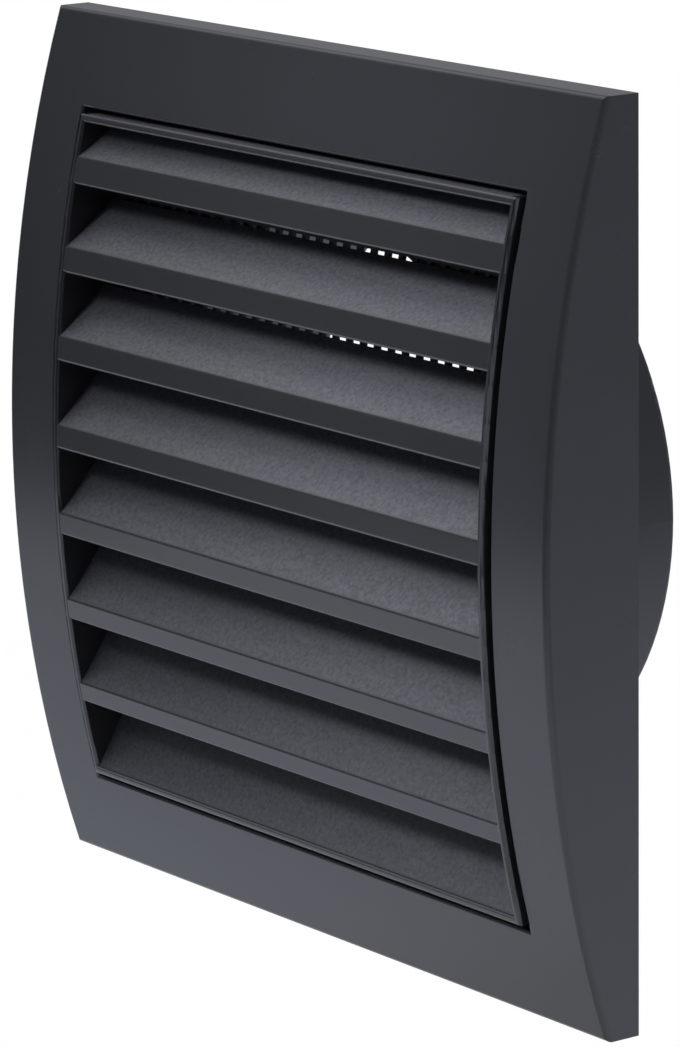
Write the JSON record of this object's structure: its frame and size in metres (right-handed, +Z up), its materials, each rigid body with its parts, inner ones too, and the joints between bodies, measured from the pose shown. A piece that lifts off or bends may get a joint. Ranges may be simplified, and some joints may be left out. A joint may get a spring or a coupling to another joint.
{
  "type": "wall vent grille",
  "caption": "Square plastic wall vent: a bowed cover frames a louvre panel with sloping slats over an insect screen, on a base plate with a round duct spigot.",
  "frame": {"origin": "on the axis of the duct spigot, in the plane of the wall that the base plate's back lies on", "axes": "+X to the right seen from the front, +Y straight back into the wall along the duct, +Z up"},
  "size_m": [0.15, 0.0483, 0.15],
  "materials": {
    "cover_plastic": "satin anthracite moulded plastic",
    "panel_plastic": "satin anthracite moulded plastic, finely grained on the blades",
    "screen_plastic": "matte black moulded plastic",
    "flange_plastic": "satin anthracite moulded plastic"
  },
  "bodies": {
    "root": {"cover_frame": "cover_plastic", "louvre_panel": "panel_plastic", "insect_screen": "screen_plastic", "duct_flange": "flange_plastic"}
  },
  "joints": []
}
